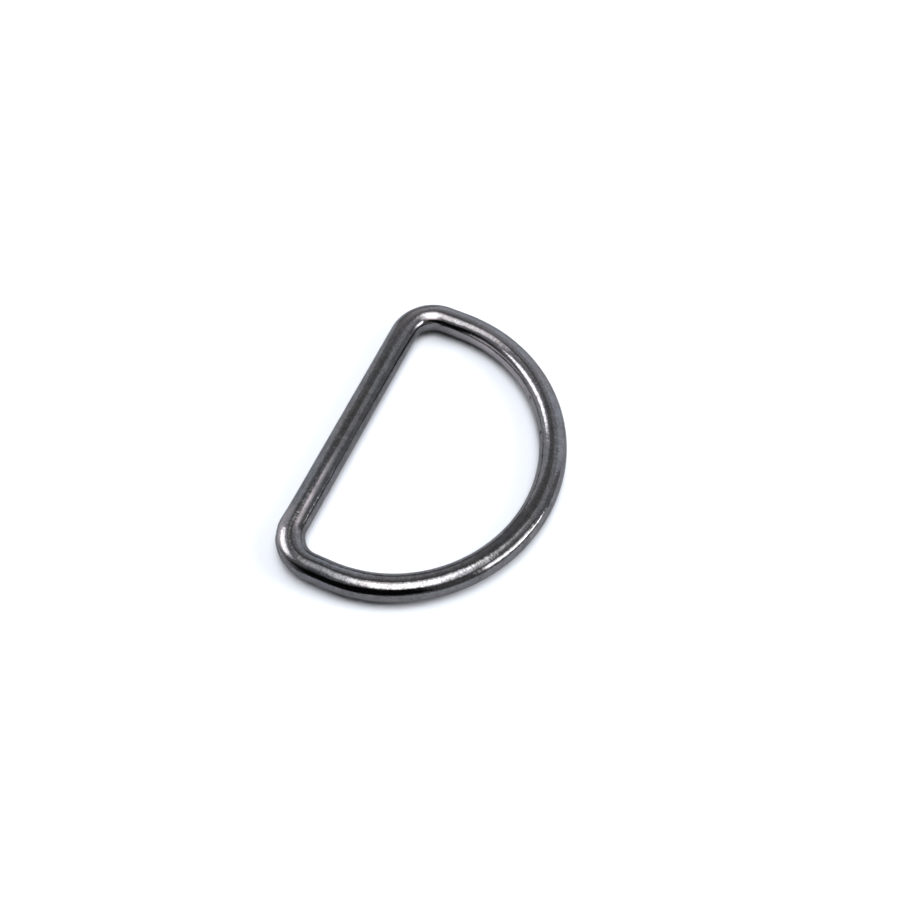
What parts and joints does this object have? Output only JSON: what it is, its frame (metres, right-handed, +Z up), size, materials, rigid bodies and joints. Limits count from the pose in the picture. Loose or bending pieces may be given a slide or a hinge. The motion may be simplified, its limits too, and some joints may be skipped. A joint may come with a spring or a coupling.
{
  "type": "d ring",
  "caption": "Closed D ring of round wire in a dark gunmetal finish: a straight bar that webbing or a strap is sewn round, and a half-round bow that a hook or cord pulls on.",
  "frame": {"origin": "under the middle of the ring's outline, on the surface that it lies on", "axes": "+Z up, square to the flat ring; +Y along the straight bar; +X from the bar towards the crown of the bow"},
  "size_m": [0.0212, 0.0304, 0.0025],
  "materials": {
    "gunmetal_plating": "polished dark gunmetal plating, finely mottled, with short marks of tumbling across the wire"
  },
  "bodies": {
    "root": {"ring": "gunmetal_plating"}
  },
  "joints": []
}
